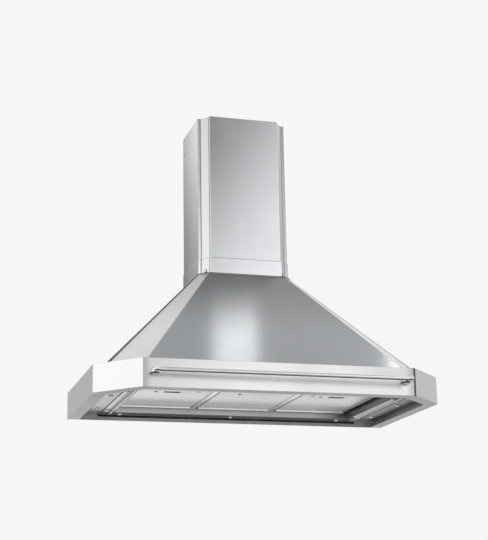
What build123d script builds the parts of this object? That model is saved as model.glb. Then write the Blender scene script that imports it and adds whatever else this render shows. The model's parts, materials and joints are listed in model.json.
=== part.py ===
from build123d import *
import math
import os

# A wall-hung chimney range hood. The frame is in millimetres: +X to the right, +Y towards the
# wall, +Z up. The rear faces lie on the wall plane y = 0, and the hood's lower lip is at z = 0.

os.makedirs("parts", exist_ok=True)

# ---- Sheet metal and fits ----
sheet = 1.2                    # stainless sheet of the body, the pan and the covers
running_gap = 0.05             # radial clearance of a pin that turns in its hole
part_gap = 0.3                 # gap between pieces that move past each other
screw_gap = 0.2                # radial clearance of a screw in a sheet

# ---- Base band ----
hood_width = 900.0
hood_depth = 500.0
corner_cut = 102.0             # leg of the 45 degree cut at each front corner
band_height = 71.0
lip_width = 32.0               # the turned-in lip below, and the shelf above
upturn_height = 24.0           # inner wall that turns up from the lip
shelf_overlap = 5.0            # how far the shelf runs in under the canopy

# ---- Chimney and collar ----
chimney_width = 252.0
chimney_depth = 197.0
chimney_top = 827.5
chimney_corner = 27.0          # how far each notched corner reaches
chimney_step = 8.0             # depth of the two small steps beside the corner's flat
collar_height = 45.5
collar_sheet = 1.5
collar_gap = 0.3
extension_sheet = 1.0
extension_gap = 0.6            # between the shaft and the sleeve that slides in it
extension_height = 395.0
extension_travel = 280.0
extension_sink = 2.5           # how far the sleeve's top lies below the shaft's top
extension_rear = 32.0          # the sleeve's sides stop this far from the wall

# ---- Canopy ----
canopy_top = 371.8
canopy_side_margin = 2.2       # canopy's top edge outside the collar, at the sides
canopy_front_margin = 6.2      # and at the front
canopy_top_cut = 22.6          # leg of the top edge's 45 degree corner

# ---- Bottom pan and the well for the filters ----
cover_level = 15.0             # underside of the side plates and lamp bezels
pan_setback = 16.0             # dark gap between the lip's upturn and the pan
well_rear = 40.0
well_top = 67.0
pan_front_strip = 25.0         # pan in front of the well
rear_slot_reach = 5.0          # how far the slot at the wall passes the bezels
rear_slot_width = 5.0
pan_flange_overlap = 3.0       # the pan's edge laps over the upturn by this much

# ---- Covers on both sides of the well ----
bezel_width = 33.0
side_plate_width = 35.0
side_plate_gap = 2.0
lens_slope_run = 9.5           # the lens face falls this far sideways
lens_drop = 5.5                # and this far down
bezel_foot = 5.0               # width of the bezel's lowest face
lens_length = 286.0
lens_width = 8.0
lens_thickness = 2.4
rib_pitch = 12.0
rib_width = 6.0
rib_height = 0.8
tube_radius = 8.0
tube_length = 288.0
cap_length = 9.0
lamp_level = 33.0              # height of the lamp tube's axis
housing_half = 13.0
housing_height = 30.0
housing_sheet = 0.8
holder_thickness = 9.0

# ---- Filter cassettes ----
cassette_count = 3
cassette_gap = 3.0             # between a cover plate and the bar beside it
cassette_wall_gap = 10.0       # between the outer plates and the well's side walls
plate_level = 33.5             # underside of the cover plates
plate_rear_gap = 4.0           # between the plates and the well's rear wall
plate_front_gap = 3.5
plate_rim = 7.5
rim_sheet = 1.0
finger_slot_width = 44.0
finger_slot_depth = 16.0
finger_slot_offset = 30.5      # in front of the cassette's middle
finger_slot_radius = 4.0
peep_hole_radius = 2.5
peep_hole_offset = 43.0
button_radius = 4.5            # small pressed button beside each finger slot
button_height = 1.4
button_offset = 67.0
button_offset_y = 38.5         # in front of the cassette's middle
frame_level = 48.0
frame_height = 12.0
frame_side_inset = 2.0
frame_rear_inset = 10.0        # in from the cover plate's rear edge
frame_front_inset = 2.5
frame_channel = 12.0
spacer_radius = 4.0
spacer_inset = 20.0
mesh_columns = 7
mesh_rows = 13
mesh_web = 3.5
hinge_inset = 4.0              # hinge axis in from the plate's rear edge
hinge_z = 37.5
pin_radius = 2.0
pin_inside = 5.0
pin_proud = 1.0

# ---- Bars and rails that carry the cassettes ----
bar_width = 16.0
bar_level = 34.0
ledge_level = 64.5
ledge_width = 14.0
rail_leg = 14.0
magnet_width = 18.0
magnet_depth = 9.0
magnet_spread = 60.0

# ---- Blower ----
blower_y = -118.0
blower_z = 225.0
scroll_half = 72.0
scroll_front_radius = 87.0
scroll_low_radius = 91.0
scroll_rear_radius = 99.0
tongue_height = 80.0
outlet_offset = 17.0           # front face of the outlet neck behind the fan's axis
outlet_level = 330.0
inlet_radius = 58.0
wheel_radius = 72.0
blade_depth = 12.0
wheel_half = 62.0
blade_count = 24
blade_thickness = 1.0
blade_lean = 35.0
wheel_ring = 2.0
wheel_disc_x = 8.0
hub_radius = 12.0
hub_length = 16.0
shaft_radius = 4.0
motor_radius = 44.0
motor_length = 56.0
motor_boss_radius = 14.0
motor_boss_length = 4.0
arm_width = 12.0
arm_reach = 68.0
bracket_hub = 30.0
standoff_radius = 4.0
standoff_circle = 22.0

# ---- Outlet box, spigot and non-return flaps ----
box_half = 80.0
box_front = 166.0
box_rear = 10.0
spigot_y = -88.0
spigot_radius = 75.0
spigot_wall = 1.5
spigot_height = 57.0
spigot_flange = 9.0
flap_axis_height = 22.0        # flap spindle above the throat plate
flap_thickness = 0.8
flap_edge_gap = 0.7
flap_root = 4.2                # the flap's plate starts this far from its spindle
knuckle_radius = 3.4
knuckle_length = 26.0
knuckle_clear = 2.0
stop_width = 2.5
stop_height = 1.6
spindle_radius = 2.0

# ---- Wall fixings, control box and gland ----
wall_hole_radius = 4.0
wall_hole_x = 150.0
wall_hole_low = 110.0
wall_hole_high = 310.0
rear_flange_depth = 28.0
rear_flange_gap = 2.0          # the flange ends this far inside the well's side walls
bracket_level = 760.0
bracket_height = 36.0
bracket_sheet = 1.5
bracket_ear = 24.0
bracket_hole_x = 80.0
bracket_hole_radius = 3.0
control_left = -290.0
control_width = 110.0
control_level = 95.0
control_height = 70.0
control_depth = 38.0
control_wall = 2.0
gland_x = -100.0
gland_y = -20.0
gland_radius = 8.0
gland_nut_radius = 11.0
gland_bore = 4.0
gland_height = 18.0
gland_nut_height = 5.0

# ---- Rail on the front panel ----
rail_radius = 5.0
rail_end_inset = 130.0         # each post in from the hood's side
rail_level = 36.5
rail_standoff = 38.0           # rail's axis in front of the panel
post_radius = 4.0
post_ball_radius = 7.5
rail_seat = 3.0                # depth of the rail's end in the ball
rail_seat_gap = 0.25           # all round the rail's end in its seat
rosette_radius = 11.0
rosette_sink = 6.0             # the rosette's ball centre in front of the panel
stud_radius = 2.5
stud_length = 10.0

# ---- Screws ----
screw_radius = 2.0
screw_head_radius = 4.0
screw_head_height = 2.2
screw_length = 8.0
screw_socket = 1.3
screw_socket_depth = 1.0
cover_screw_front_inset = 141.0
cover_screw_rear_inset = 56.0
bezel_screw_edge = 10.0        # in from the bezel's outer edge
bezel_screw_front_inset = 81.0
bezel_screw_rear_inset = 34.0
rear_screw_inset = 22.0        # inside the well's side walls
rear_screw_y = -14.0
collar_screw_height = 11.0
bracket_screw_y = -13.0

# ---- Values that follow ----
pan_inset = lip_width + pan_setback
pan_half = hood_width / 2 - pan_inset
well_front = hood_depth - pan_inset - pan_front_strip
well_middle = -(well_front + well_rear) / 2
bezel_outer = pan_half - side_plate_width - side_plate_gap
well_half = bezel_outer - bezel_width
rear_slot_half = bezel_outer + rear_slot_reach
pan_bottom = cover_level + sheet
pan_top = pan_bottom + sheet
throat_top = canopy_top + sheet
collar_out = collar_gap + collar_sheet
canopy_half = hood_width / 2 - lip_width
canopy_front = hood_depth - lip_width
canopy_diagonal = hood_width / 2 + hood_depth - corner_cut - lip_width * math.sqrt(2)
throat_half = chimney_width / 2 + collar_out + canopy_side_margin
throat_front = chimney_depth + collar_out + canopy_front_margin
throat_diagonal = throat_half + throat_front - canopy_top_cut
canopy_rise = canopy_top - band_height
between_plates = bar_width + 2 * cassette_gap
plates_span = 2 * (well_half - cassette_wall_gap) - (cassette_count - 1) * between_plates
cassette_width = plates_span / cassette_count
cassette_pitch = cassette_width + between_plates
plate_rear = well_rear + plate_rear_gap
plate_front = well_front - plate_front_gap
frame_rear = plate_rear + frame_rear_inset
frame_front = plate_front - frame_front_inset
hinge_y = -(plate_rear + hinge_inset)
finger_slot_y = well_middle - finger_slot_offset
button_y = well_middle - button_offset_y
rail_half = hood_width / 2 - rail_end_inset
cover_screw_x = pan_half - side_plate_width / 2
cover_screw_front = -(well_front - cover_screw_front_inset)
cover_screw_rear = -(well_rear + cover_screw_rear_inset)
bezel_screw_x = bezel_outer - bezel_screw_edge
bezel_screw_front = -(well_front - bezel_screw_front_inset)
bezel_screw_rear = -(well_rear + bezel_screw_rear_inset)
rear_screw_x = well_half - rear_screw_inset
cassette_middles = [cassette_pitch * (i - (cassette_count - 1) / 2) for i in range(cassette_count)]
bar_middles = [cassette_pitch * (i + 1 - cassette_count / 2) for i in range(cassette_count - 1)]
lamp_x = (well_half + sheet + bezel_outer) / 2
spindle_z = throat_top + flap_axis_height
spigot_bore = spigot_radius - spigot_wall


# ---- Shared helpers ----
def block(x0, x1, y0, y1, z0, z1):
    """Box between two corners."""
    return Pos((x0 + x1) / 2, (y0 + y1) / 2, (z0 + z1) / 2) * Box(x1 - x0, y1 - y0, z1 - z0)


def slab(face, bottom, top):
    """Plan outline raised between two heights."""
    return Pos(0, 0, bottom) * extrude(face, amount=top - bottom, dir=(0, 0, 1))


def upright(x, y, bottom, top, radius):
    """Vertical round bar or hole."""
    return Pos(x, y, (bottom + top) / 2) * Cylinder(radius, top - bottom)


def crosswise(x0, x1, y, z, radius):
    """Round bar or hole along X."""
    return Pos((x0 + x1) / 2, y, z) * Rot(0, 90, 0) * Cylinder(radius, x1 - x0)


def lengthwise(x, y0, y1, z, radius):
    """Round bar or hole along Y."""
    return Pos(x, (y0 + y1) / 2, z) * Rot(90, 0, 0) * Cylinder(radius, y1 - y0)


def mirrored(part):
    """The same piece on the hood's left side."""
    return mirror(part, about=Plane.YZ)


def chamfered(half, front, diagonal, rear=0.0):
    """Plan outline with two cut front corners, where x + |y| = diagonal."""
    right = [(half, -rear), (half, half - diagonal), (diagonal - front, -front)]
    left = [(-x, y) for x, y in reversed(right)]
    return make_face(Polyline(*right, *left, close=True))


def band_outline(inset, rear=sheet):
    """The band's plan outline, inset on every side but the rear."""
    half = hood_width / 2 - inset
    front = hood_depth - inset
    diagonal = hood_width / 2 + hood_depth - corner_cut - inset * math.sqrt(2)
    return chamfered(half, front, diagonal, rear)


def band_ring(outer, inner, bottom, top, rear=sheet):
    """Strip that follows the sides and the front, open at the rear."""
    return slab(band_outline(outer, rear) - band_outline(inner, rear), bottom, top)


def chimney_outline(inset):
    """Chimney section with notched and flattened front corners, open to the wall."""
    side = chimney_width / 2 - inset
    front = chimney_depth - inset
    shoulder_x = chimney_width / 2 - chimney_corner - inset
    shoulder_y = chimney_depth - chimney_corner - inset
    diagonal = chimney_width / 2 + chimney_depth - chimney_corner - chimney_step
    diagonal = diagonal - inset * math.sqrt(2)
    right = [
        (side, 0),
        (side, -shoulder_y),
        (diagonal - shoulder_y, -shoulder_y),
        (shoulder_x, shoulder_x - diagonal),
        (shoulder_x, -front),
    ]
    left = [(-x, y) for x, y in reversed(right)]
    return make_face(Polyline(*right, *left, close=True))


def chimney_ring(outer, inner, bottom, top):
    """Sheet of the chimney's section between two insets."""
    return slab(chimney_outline(outer) - chimney_outline(inner), bottom, top)


def screw(length=screw_length):
    """Pan-head screw along -Z with its head above z = 0 and a hexagon socket."""
    head = Pos(0, 0, screw_head_height / 2) * Cylinder(screw_head_radius, screw_head_height)
    head = fillet(head.edges().group_by(Axis.Z)[-1], screw_head_height * 0.6)
    socket_bottom = screw_head_height - screw_socket_depth
    socket = extrude(RegularPolygon(screw_socket, 6), amount=screw_head_height, dir=(0, 0, 1))
    head = head - Pos(0, 0, socket_bottom) * socket
    shank = Pos(0, 0, -length / 2) * Cylinder(screw_radius, length)
    return head + shank


def screw_up(x, y, surface):
    """Screw driven upwards, its head under a surface."""
    return Pos(x, y, surface) * Rot(180, 0, 0) * screw()


def screw_hole(x, y, bottom, top):
    """Clearance hole for an upright screw."""
    return upright(x, y, bottom, top, screw_radius + screw_gap)


def group(parts):
    """Separate identical pieces in one node."""
    return Compound(children=list(parts))


# ---- Body ----
def base_band():
    skin = band_ring(0, sheet, 0, band_height)
    shelf = band_ring(0, lip_width + shelf_overlap, band_height - sheet, band_height)
    lip = band_ring(0, lip_width, 0, sheet)
    upturn = band_ring(lip_width - sheet, lip_width, 0, upturn_height)
    band = skin + shelf + lip + upturn
    for x in (-rail_half, rail_half):
        band -= lengthwise(x, -hood_depth - sheet, -hood_depth + 2 * sheet, rail_level,
                           stud_radius + screw_gap)
    return band


def rear_panel():
    half = hood_width / 2
    right = [
        (half, 0),
        (half, band_height),
        (canopy_half, band_height),
        (throat_half, canopy_top),
    ]
    left = [(-x, z) for x, z in reversed(right)]
    face = Plane.XZ * make_face(Polyline(*right, *left, close=True))
    panel = extrude(face, amount=sheet, dir=(0, -1, 0))
    flange_half = well_half - rear_flange_gap
    panel += block(-flange_half, flange_half, -sheet - rear_flange_depth, -sheet,
                   pan_top, pan_top + sheet)
    for x in (-wall_hole_x, wall_hole_x):
        for z in (wall_hole_low, wall_hole_high):
            panel -= lengthwise(x, -2 * sheet, sheet, z, wall_hole_radius)
    for x in (-rear_screw_x, 0, rear_screw_x):
        panel -= screw_hole(x, rear_screw_y, pan_bottom, pan_top + 2 * sheet)
    return panel


def canopy_insets(thickness):
    """Level shift of the side, front and corner faces for a sheet of this thickness."""
    shifts = []
    for run in (canopy_half - throat_half, canopy_front - throat_front,
                (canopy_diagonal - throat_diagonal) / math.sqrt(2)):
        shifts.append(thickness * math.hypot(run, canopy_rise) / canopy_rise)
    return shifts


def canopy_body(thickness, rear):
    """Solid under the canopy's faces, moved inwards by a thickness."""
    side, front, corner = canopy_insets(thickness)
    corner = corner * math.sqrt(2)
    low = chamfered(canopy_half - side, canopy_front - front, canopy_diagonal - corner, rear)
    high = chamfered(throat_half - side, throat_front - front, throat_diagonal - corner, rear)
    return loft([Pos(0, 0, band_height) * low, Pos(0, 0, canopy_top) * high], ruled=True)


def canopy_shell():
    return canopy_body(0, sheet) - canopy_body(sheet, 0)


def canopy_side_right():
    """Side slope up to the mitre along its front ridge."""
    side, _, corner = canopy_insets(sheet)
    low = Vector(canopy_half, canopy_half - canopy_diagonal, band_height)
    high = Vector(throat_half, throat_half - throat_diagonal, canopy_top)
    inner_x = canopy_half - side
    inner_y = inner_x - (canopy_diagonal - corner * math.sqrt(2))
    inside = Vector(inner_x, inner_y, band_height)
    across = (high - low).cross(inside - low)
    if across.Y < 0:
        across = across * -1
    mitre = Plane(origin=low, x_dir=high - low, z_dir=across)
    rear_part = split(canopy_shell(), bisect_by=mitre, keep=Keep.TOP)
    right_half = block(0, hood_width, -hood_depth, 0, 0, chimney_top)
    return rear_part & right_half


def canopy_front_sheet():
    """Front slope folded with its two corner facets."""
    side = canopy_side_right()
    return canopy_shell() - side - mirrored(side)


def throat_plate():
    plate = slab(chamfered(throat_half, throat_front, throat_diagonal), canopy_top, throat_top)
    plate -= upright(0, spigot_y, canopy_top, throat_top, spigot_bore)
    plate -= upright(gland_x, gland_y, canopy_top, throat_top, gland_radius)
    return plate


# ---- Collar and chimney ----
def corner_screw_place(side):
    """Where a screw meets the collar's corner flat, looking outwards."""
    middle = (chimney_corner + chimney_step) / 2
    outwards = collar_out / math.sqrt(2)
    x = chimney_width / 2 - middle + outwards
    y = -(chimney_depth - middle + outwards)
    z = throat_top + collar_screw_height
    return Plane(origin=(side * x, y, z), z_dir=(side, -1, 0))


def collar():
    ring = chimney_ring(-collar_out, -collar_gap, throat_top, throat_top + collar_height)
    for side in (-1, 1):
        hole = Cylinder(screw_radius + screw_gap, 6 * sheet)
        ring -= corner_screw_place(side) * hole
    return ring


def collar_screws():
    return group(corner_screw_place(side) * screw() for side in (-1, 1))


def bracket_screw_place(side):
    z = bracket_level + bracket_height / 2
    return Plane(origin=(side * chimney_width / 2, bracket_screw_y, z), z_dir=(side, 0, 0))


def chimney_shaft():
    shaft = chimney_ring(0, sheet, throat_top, chimney_top)
    for side in (-1, 1):
        hole = Cylinder(screw_radius + screw_gap, 8 * sheet)
        shaft -= corner_screw_place(side) * hole
        shaft -= bracket_screw_place(side) * hole
    return shaft


def chimney_extension():
    outer = sheet + extension_gap
    top = chimney_top - extension_sink
    sleeve = chimney_ring(outer, outer + extension_sheet, top - extension_height, top)
    return sleeve - block(-chimney_width, chimney_width, -extension_rear, sheet, 0, chimney_top)


def chimney_bracket():
    outer = chimney_width / 2 - sheet
    top = bracket_level + bracket_height
    plate = block(-outer, outer, -bracket_sheet, 0, bracket_level, top)
    for side in (-1, 1):
        edges = sorted((side * outer, side * (outer - bracket_sheet)))
        plate += block(edges[0], edges[1], -bracket_ear, 0, bracket_level, top)
    for side in (-1, 1):
        plate -= bracket_screw_place(side) * Cylinder(screw_radius + screw_gap, 8 * sheet)
        plate -= lengthwise(side * bracket_hole_x, -2 * bracket_sheet, bracket_sheet,
                            bracket_level + bracket_height / 2, bracket_hole_radius)
    return plate


def chimney_bracket_screws():
    return group(bracket_screw_place(side) * screw() for side in (-1, 1))


# ---- Bottom pan and covers ----
def bottom_pan():
    rear = sheet
    lap = lip_width - pan_flange_overlap
    flange_top = upturn_height + sheet
    pan = slab(band_outline(pan_inset, rear), pan_bottom, pan_top)
    pan += band_ring(pan_inset, pan_inset + sheet, pan_bottom, flange_top)
    pan += band_ring(lap, pan_inset + sheet, upturn_height, flange_top)
    pan += block(-well_half - sheet, well_half + sheet, -well_front - sheet, -well_rear + sheet,
                 pan_bottom, well_top)
    pan -= block(-well_half, well_half, -well_front, -well_rear, 0, band_height)
    pan -= block(-rear_slot_half, rear_slot_half, -sheet - rear_slot_width, 0, 0, pan_top)
    for side in (-1, 1):
        for y in (cover_screw_front, cover_screw_rear):
            pan -= screw_hole(side * cover_screw_x, y, 0, pan_top)
        for y in (bezel_screw_front, bezel_screw_rear):
            pan -= screw_hole(side * bezel_screw_x, y, 0, pan_top)
        heel = well_half + lens_slope_run + bezel_foot - sheet
        window = sorted((side * (well_half + 2 * sheet), side * heel))
        pan -= block(window[0], window[1], well_middle - lens_length / 2,
                     well_middle + lens_length / 2, 0, pan_top)
        outer_pin = sorted((side * well_half, side * (well_half + sheet)))
        pan -= crosswise(outer_pin[0], outer_pin[1], hinge_y, hinge_z, pin_radius + running_gap)
    for x in (-rear_screw_x, 0, rear_screw_x):
        pan -= screw_hole(x, rear_screw_y, 0, pan_top)
    return pan


def side_plate_right():
    inner = bezel_outer + side_plate_gap
    area = block(inner, hood_width, -well_front, -well_rear, cover_level, pan_bottom)
    plate = slab(band_outline(pan_inset), cover_level, pan_bottom) & area
    for y in (cover_screw_front, cover_screw_rear):
        plate -= screw_hole(cover_screw_x, y, 0, pan_top)
    return plate


def lens_place():
    """Frame on the bezel's sloping face: X across the lens, Y along it, Z outwards and down."""
    x = well_half + lens_slope_run / 2
    z = cover_level - lens_drop / 2
    outwards = Vector(-lens_drop, 0, -lens_slope_run)
    return Plane(origin=(x, well_middle, z), x_dir=(lens_slope_run, 0, -lens_drop), z_dir=outwards)


def wedge(thickness, y0, y1):
    """The bezel's hanging wedge, its faces moved inwards by a thickness."""
    slope = math.hypot(lens_slope_run, lens_drop)
    rise = thickness * slope / lens_slope_run
    inner = well_half + thickness
    low = cover_level - lens_drop + thickness
    outer = well_half + lens_slope_run + bezel_foot - thickness
    fall = lens_drop / lens_slope_run
    points = [
        (inner, pan_bottom),
        (inner, cover_level - fall * thickness + rise),
        (well_half + (cover_level + rise - low) / fall, low),
        (outer, low),
        (outer, pan_bottom),
    ]
    face = Plane.XZ * make_face(Polyline(*points, close=True))
    return Pos(0, y1, 0) * extrude(face, amount=y1 - y0, dir=(0, -1, 0))


def lamp_bezel_right():
    body = wedge(0, -well_front, -well_rear)
    body -= wedge(sheet, -well_front + sheet, -well_rear - sheet)
    heel = well_half + lens_slope_run + bezel_foot - sheet
    body += block(heel, bezel_outer, -well_front, -well_rear, cover_level, pan_bottom)
    for y in (bezel_screw_front, bezel_screw_rear):
        body -= screw_hole(bezel_screw_x, y, 0, pan_top)
    return body - lens_place() * Box(lens_width, lens_length, 4 * sheet)


def lamp_lens_right():
    lens = Box(lens_width, lens_length, lens_thickness)
    count = int(lens_length // rib_pitch) + 1
    for i in range(count):
        y = rib_pitch * (i - (count - 1) / 2)
        if abs(y) + rib_width / 2 < lens_length / 2:
            lens += Pos(0, y, lens_thickness / 2) * Box(lens_width, rib_width, 2 * rib_height)
    return lens_place() * Pos(0, 0, sheet / 2 - lens_thickness / 2) * Pos(0, 0, -sheet / 2) * lens


def lamp_housing_right():
    long_half = tube_length / 2 + holder_thickness + housing_sheet
    y0 = well_middle - long_half
    y1 = well_middle + long_half
    top = pan_top + housing_height
    shell = block(lamp_x - housing_half, lamp_x + housing_half, y0, y1, pan_top, top)
    shell -= block(lamp_x - housing_half + housing_sheet, lamp_x + housing_half - housing_sheet,
                   y0 + housing_sheet, y1 - housing_sheet, pan_bottom, top - housing_sheet)
    return shell


def lamp_tube_right():
    half = tube_length / 2
    glass = lengthwise(lamp_x, well_middle - half + cap_length, well_middle + half - cap_length,
                       lamp_level, tube_radius - 0.4)
    for side in (-1, 1):
        ends = sorted((well_middle + side * half, well_middle + side * (half - cap_length)))
        glass += lengthwise(lamp_x, ends[0], ends[1], lamp_level, tube_radius)
    return glass


def lamp_holder(side_x, side_y):
    near = well_middle + side_y * tube_length / 2
    ends = sorted((near, near + side_y * holder_thickness))
    width = tube_radius + 1
    x = side_x * lamp_x
    return block(x - width, x + width, ends[0], ends[1], pan_top, lamp_level + tube_radius)


def underside_screws():
    screws = []
    for side in (-1, 1):
        for y in (cover_screw_front, cover_screw_rear):
            screws.append(screw_up(side * cover_screw_x, y, cover_level))
        for y in (bezel_screw_front, bezel_screw_rear):
            screws.append(screw_up(side * bezel_screw_x, y, cover_level))
    for x in (-rear_screw_x, 0, rear_screw_x):
        screws.append(screw_up(x, rear_screw_y, pan_bottom))
    return group(screws)


# ---- Carriers and cassettes ----
def filter_crossbar(x):
    half = bar_width / 2
    bar = block(x - half, x + half, -well_front, -well_rear, bar_level, ledge_level)
    bar -= block(x - half + sheet, x + half - sheet, -well_front, -well_rear,
                 bar_level + sheet, ledge_level)
    return bar - crosswise(x - half, x + half, hinge_y, hinge_z, pin_radius + running_gap)


def filter_rail(wall, inwards):
    """Angle along the front or rear wall of the well, above the cassettes."""
    ledge = sorted((wall, wall + inwards * ledge_width))
    leg = sorted((wall, wall + inwards * sheet))
    rail = block(-well_half, well_half, ledge[0], ledge[1], ledge_level, ledge_level + sheet)
    leg_bottom = ledge_level - rail_leg
    rail += block(-well_half, well_half, leg[0], leg[1], leg_bottom, ledge_level)
    for x in bar_middles:
        half = bar_width / 2
        rail -= block(x - half, x + half, leg[0], leg[1], leg_bottom, ledge_level)
    return rail


def catch_magnets():
    y0 = -well_front + sheet + 1
    magnets = []
    for middle in cassette_middles:
        for x in (middle - magnet_spread, middle + magnet_spread):
            magnets.append(block(x - magnet_width / 2, x + magnet_width / 2, y0, y0 + magnet_depth,
                                 frame_level + frame_height + part_gap, ledge_level))
    return group(magnets)


def filter_plate(x, slotted):
    half = cassette_width / 2
    rim_top = plate_level + plate_rim
    tray = block(x - half, x + half, -plate_front, -plate_rear, plate_level, rim_top)
    tray -= block(x - half + rim_sheet, x + half - rim_sheet, -plate_front + rim_sheet,
                  -plate_rear - rim_sheet, plate_level + sheet, rim_top)
    tray -= crosswise(x - half, x + half, hinge_y, hinge_z, pin_radius)
    tray -= upright(x - peep_hole_offset, finger_slot_y, plate_level, rim_top, peep_hole_radius)
    if slotted:
        opening = RectangleRounded(finger_slot_width, finger_slot_depth, finger_slot_radius)
        tray -= slab(Pos(x, finger_slot_y) * opening, plate_level, rim_top)
        button_x = x - math.copysign(button_offset, x)
        button = upright(button_x, button_y, plate_level - button_height, plate_level + sheet / 2,
                         button_radius)
        tray += fillet(button.edges().group_by(Axis.Z)[0], button_height * 0.8)
    return tray


def filter_frame(x):
    half = cassette_width / 2 - frame_side_inset
    top = frame_level + frame_height
    lap = frame_channel
    frame = block(x - half, x + half, -frame_front, -frame_rear, frame_level, top)
    frame -= block(x - half + lap, x + half - lap, -frame_front + lap, -frame_rear - lap,
                   frame_level, top)
    frame -= block(x - half + rim_sheet, x + half - rim_sheet, -frame_front + rim_sheet,
                   -frame_rear - rim_sheet, frame_level + rim_sheet, top - rim_sheet)
    for sx in (-1, 1):
        for y in (-frame_front + spacer_inset, -frame_rear - spacer_inset):
            post_x = x + sx * (half - frame_channel / 2)
            post = upright(post_x, y, plate_level + sheet, frame_level, spacer_radius)
            frame += post
    return frame


def filter_mesh(x):
    half = cassette_width / 2 - frame_side_inset - rim_sheet
    y0 = -frame_front + rim_sheet
    y1 = -frame_rear - rim_sheet
    z0 = frame_level + rim_sheet
    z1 = frame_level + frame_height - rim_sheet
    open_half = half + rim_sheet - frame_channel
    open_y0 = -frame_front + frame_channel
    open_y1 = -frame_rear - frame_channel
    pitch_x = 2 * open_half / mesh_columns
    pitch_y = (open_y1 - open_y0) / mesh_rows
    hole = Rectangle(pitch_x - mesh_web, pitch_y - mesh_web)
    centre = Pos(x, (open_y0 + open_y1) / 2)
    holes = [centre * spot * hole for spot in GridLocations(pitch_x, pitch_y, mesh_columns, mesh_rows)]
    return block(x - half, x + half, y0, y1, z0, z1) - slab(Sketch() + holes, z0, z1)


def filter_pins(index):
    """Two hinge pins at the cassette's rear corners, held in its rim."""
    x = cassette_middles[index]
    half = cassette_width / 2
    reach_bar = cassette_pitch / 2 - bar_width / 2 - half + sheet + pin_proud
    reach_well = well_half - cassette_middles[-1] - half + sheet + pin_proud
    pins = []
    for side in (-1, 1):
        at_wall = index == (cassette_count - 1 if side > 0 else 0)
        reach = reach_well if at_wall else reach_bar
        ends = sorted((x + side * (half - pin_inside), x + side * (half + reach)))
        pins.append(crosswise(ends[0], ends[1], hinge_y, hinge_z, pin_radius))
    return group(pins)


# ---- Blower ----
def scroll_face(grow, top):
    """Section of the scroll in the YZ plane, its walls moved outwards by grow."""
    front = scroll_front_radius + grow
    low = scroll_low_radius + grow
    rear = scroll_rear_radius + grow
    crown = blower_z + tongue_height + grow
    level_1 = blower_z + tongue_height - scroll_front_radius
    centre_2 = blower_y - scroll_front_radius + scroll_low_radius
    level_3 = level_1 - scroll_low_radius + scroll_rear_radius
    neck_front = blower_y + outlet_offset - grow
    neck_rear = centre_2 + rear
    arcs = [
        CenterArc((blower_y, level_1), front, 90, 90),
        CenterArc((centre_2, level_1), low, 180, 90),
        CenterArc((centre_2, level_3), rear, 270, 90),
    ]
    lines = [
        Line((neck_rear, level_3), (neck_rear, top)),
        Line((neck_rear, top), (neck_front, top)),
        Line((neck_front, top), (neck_front, crown)),
        Line((neck_front, crown), (blower_y, crown)),
    ]
    return Plane.YZ * make_face(Curve() + arcs + lines)


def scroll_slice(face, x0, x1):
    return Pos(x0, 0, 0) * extrude(face, amount=x1 - x0, dir=(1, 0, 0))


def blower_scroll():
    outer = scroll_slice(scroll_face(sheet, outlet_level), -scroll_half, scroll_half)
    return outer - scroll_slice(scroll_face(0, outlet_level + sheet), -scroll_half, scroll_half)


def blower_side_right():
    plate = scroll_slice(scroll_face(sheet, outlet_level), scroll_half, scroll_half + sheet)
    return plate - crosswise(scroll_half, scroll_half + sheet, blower_y, blower_z, inlet_radius)


def axle(x0, x1, radius):
    """Round body on the fan's axis."""
    return crosswise(x0, x1, blower_y, blower_z, radius)


def impeller():
    inner = wheel_radius - blade_depth
    rim = axle(-wheel_half, wheel_half, wheel_radius) - axle(-wheel_half, wheel_half, inner)
    rim -= axle(-wheel_half + wheel_ring, wheel_half - wheel_ring, wheel_radius + 1)
    disc_end = wheel_disc_x + wheel_ring
    wheel = rim + axle(wheel_disc_x, disc_end, wheel_radius)
    wheel += axle(wheel_disc_x, wheel_disc_x + hub_length, hub_radius)
    blade = Box(2 * wheel_half - wheel_ring, blade_thickness, blade_depth - 1)
    for i in range(blade_count):
        turn = 360 * i / blade_count
        middle = wheel_radius - blade_depth / 2
        place = Pos(0, blower_y, blower_z) * Rot(turn, 0, 0) * Pos(0, 0, middle)
        wheel += place * Rot(blade_lean, 0, 0) * blade
    return wheel - axle(wheel_disc_x, wheel_disc_x + hub_length, shaft_radius)


def motor():
    body = axle(-motor_length, 0, motor_radius)
    body = fillet(body.edges().filter_by(GeomType.CIRCLE), 4)
    body += axle(0, motor_boss_length, motor_boss_radius)
    return body - axle(-motor_length / 2, motor_boss_length, shaft_radius + running_gap)


def motor_shaft():
    return axle(-motor_length / 2 + part_gap, wheel_disc_x + hub_length, shaft_radius)


def motor_bracket():
    outside = -scroll_half - sheet
    spider = axle(outside - sheet, outside, bracket_hub)
    for i in range(3):
        arm = Pos(0, 0, arm_reach / 2) * Box(sheet, arm_width, arm_reach)
        place = Pos(outside - sheet / 2, blower_y, blower_z) * Rot(120 * i, 0, 0)
        spider += place * arm
    for i in range(3):
        angle = math.radians(120 * i + 60)
        y = blower_y + standoff_circle * math.cos(angle)
        z = blower_z + standoff_circle * math.sin(angle)
        spider += crosswise(outside, -motor_length, y, z, standoff_radius)
    return spider


# ---- Outlet and flaps ----
def outlet_box():
    box = block(-box_half, box_half, -box_front, -box_rear, outlet_level, canopy_top)
    box -= block(-box_half + sheet, box_half - sheet, -box_front + sheet, -box_rear - sheet,
                 outlet_level + sheet, canopy_top - sheet)
    neck_front = blower_y + outlet_offset
    neck_rear = blower_y - scroll_front_radius + scroll_low_radius + scroll_rear_radius
    box -= block(-scroll_half, scroll_half, neck_front, neck_rear, outlet_level,
                 outlet_level + sheet)
    return box - upright(0, spigot_y, canopy_top - sheet, canopy_top, spigot_bore)


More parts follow.
